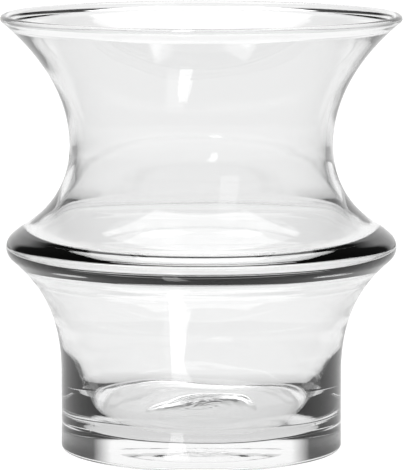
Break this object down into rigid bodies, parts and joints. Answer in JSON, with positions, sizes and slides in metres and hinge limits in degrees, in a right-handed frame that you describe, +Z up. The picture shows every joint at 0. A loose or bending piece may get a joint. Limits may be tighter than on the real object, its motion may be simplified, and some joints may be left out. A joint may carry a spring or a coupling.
{
  "type": "flower vase",
  "caption": "Heavy blown vase in clear glass with a flared mouth, a drawn-in waist, a wide, thick ring half way up and a heavy drum foot.",
  "frame": {"origin": "centre of the flat face of the foot, on the surface that the vase stands on", "axes": "+Z up along the axis of revolution, towards the mouth; X and Y are alike, because the vase is round"},
  "size_m": [0.1832, 0.1832, 0.2],
  "materials": {
    "clear_glass": "polished"
  },
  "bodies": {
    "root": {"glass_vase": "clear_glass"}
  },
  "joints": []
}
